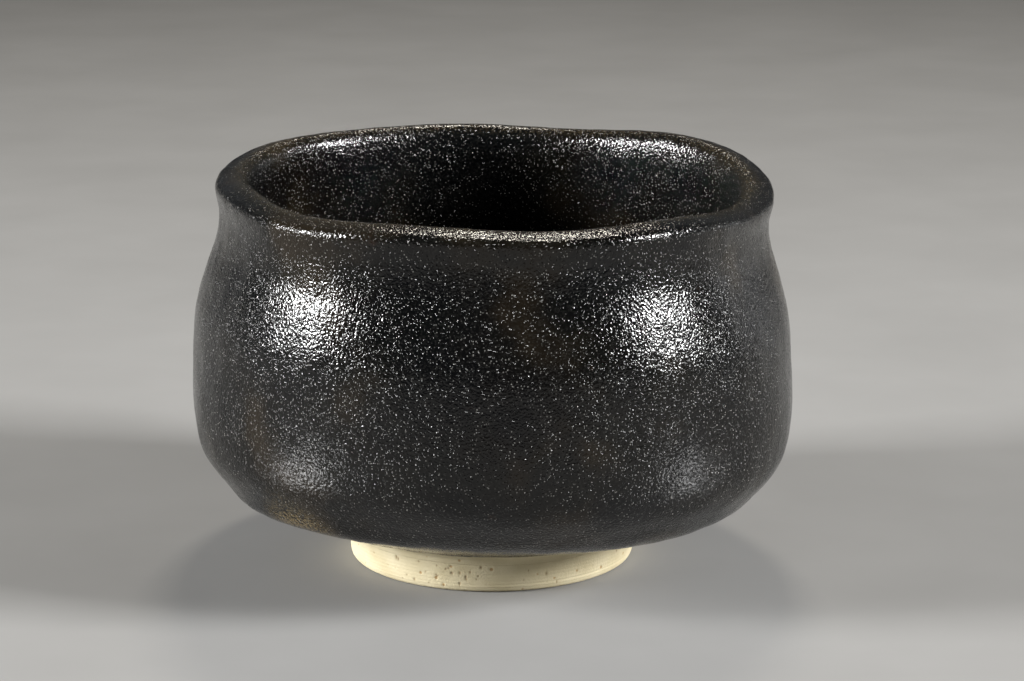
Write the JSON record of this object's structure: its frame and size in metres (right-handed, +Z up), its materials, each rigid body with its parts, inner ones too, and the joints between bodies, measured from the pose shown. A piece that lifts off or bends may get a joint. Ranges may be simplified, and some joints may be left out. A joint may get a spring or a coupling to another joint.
{
  "type": "matcha bowl",
  "caption": "Hand-shaped tea bowl with a rounded lip, a waisted neck, a full round belly and a bare ring foot, glazed black inside and out.",
  "frame": {"origin": "centre of the foot ring's resting face", "axes": "+Z up through the mouth, -Y the front of the bowl, +X to its right seen from the front"},
  "size_m": [0.1244, 0.1262, 0.0821],
  "materials": {
    "black_glaze": "glossy black glaze with a fine orange-peel surface",
    "brown_glaze": "thin satin brown glaze, speckled",
    "bare_clay": "unglazed fine buff clay, matt, with a few brown specks and pits"
  },
  "bodies": {
    "root": {"clay_body": "bare_clay", "foot_ring": "bare_clay", "inner_glaze": "black_glaze", "outer_glaze": "black_glaze", "glaze_hem": "brown_glaze"}
  },
  "joints": []
}
